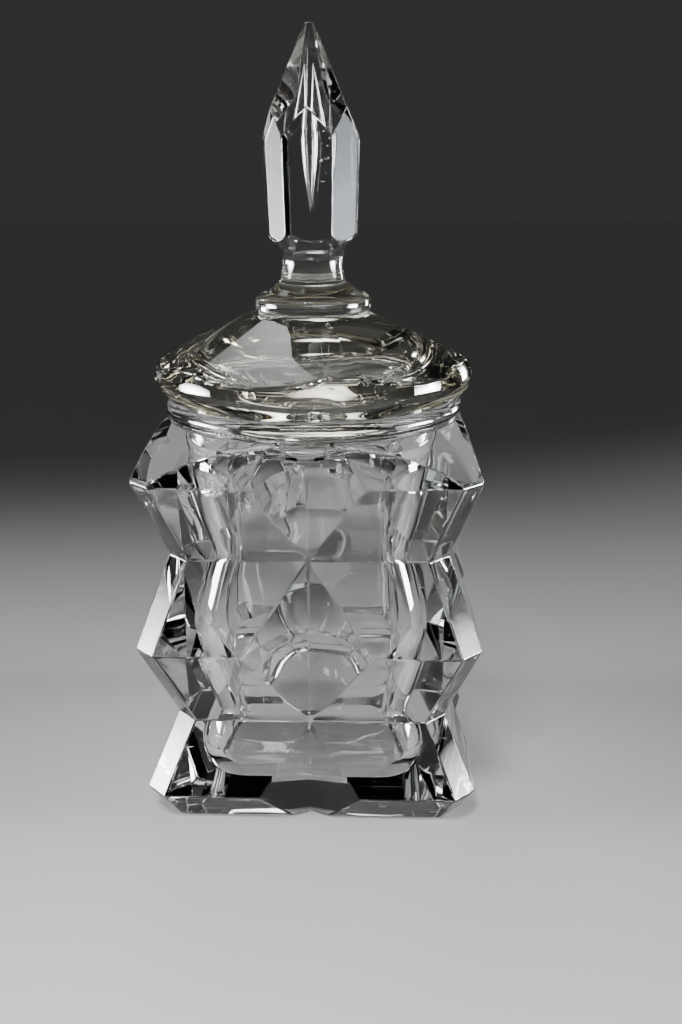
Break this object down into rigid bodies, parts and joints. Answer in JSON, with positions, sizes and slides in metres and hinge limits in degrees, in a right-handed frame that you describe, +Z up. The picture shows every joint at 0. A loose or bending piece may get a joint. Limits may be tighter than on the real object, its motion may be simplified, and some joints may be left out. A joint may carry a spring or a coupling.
{
  "type": "powder jar",
  "caption": "Square zigzag glass powder jar with chamfered corners and grooved faces, round beaded neck, loose panelled glass lid and a tall faceted spire finial.",
  "frame": {"origin": "middle of the flat foot that the jar stands on", "axes": "+Z up along the jar's axis; -Y towards the viewer, square to the front face; +X to the viewer's right"},
  "size_m": [0.082, 0.082, 0.1842],
  "materials": {
    "jar_glass": "polished",
    "lid_glass": "polished",
    "finial_glass": "polished"
  },
  "bodies": {
    "jar": {"jar_body": "jar_glass"},
    "cover": {"lid": "lid_glass", "finial": "finial_glass"}
  },
  "joints": [
    {"name": "lid_lift", "type": "slide", "parent": "jar", "child": "cover", "axis": [0, 0, 1], "range_m": [0, 0.06]}
  ]
}
